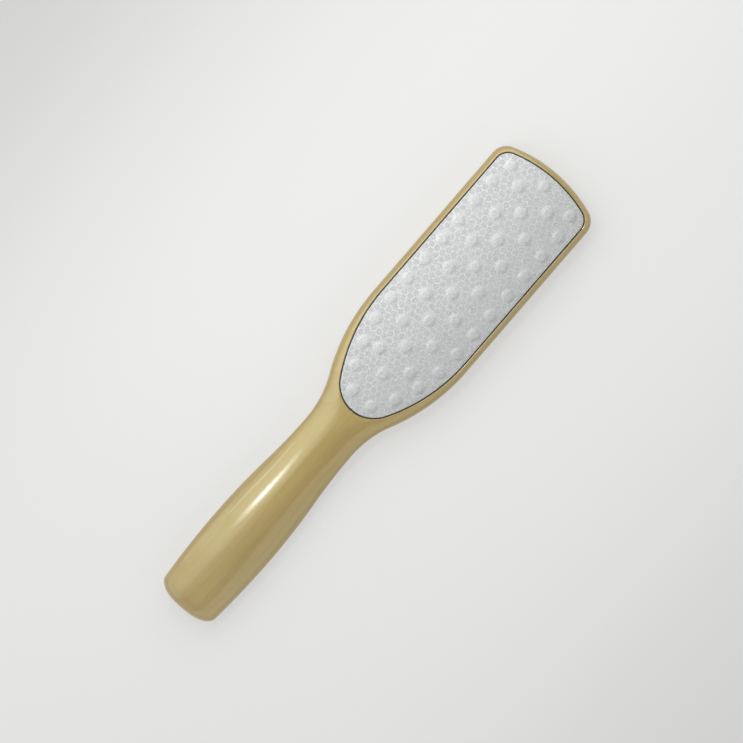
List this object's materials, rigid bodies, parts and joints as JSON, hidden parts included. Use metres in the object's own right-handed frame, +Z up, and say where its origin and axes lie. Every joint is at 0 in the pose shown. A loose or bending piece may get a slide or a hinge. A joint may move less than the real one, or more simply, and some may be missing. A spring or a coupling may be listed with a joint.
{
  "type": "foot file",
  "caption": "Flat wooden paddle with a waisted oval grip and a wide head that carries an embossed coarse steel plate on one face and a flat fine plate on the other, for filing hard skin.",
  "frame": {"origin": "at mid-length and mid-width, on the plane of the fine plate's outer face, on which the file rests", "axes": "+X from the butt to the head, +Z up out of the coarse plate"},
  "size_m": [0.255, 0.055, 0.0155],
  "materials": {
    "wood": "clear gloss lacquer over pale, straight-grained wood",
    "coarse_steel": "embossed and etched, satin",
    "fine_steel": "etched, satin",
    "adhesive": "matt black adhesive pad"
  },
  "bodies": {
    "root": {"handle": "wood", "coarse_plate": "coarse_steel", "coarse_pad": "adhesive", "fine_plate": "fine_steel", "fine_pad": "adhesive"}
  },
  "joints": []
}
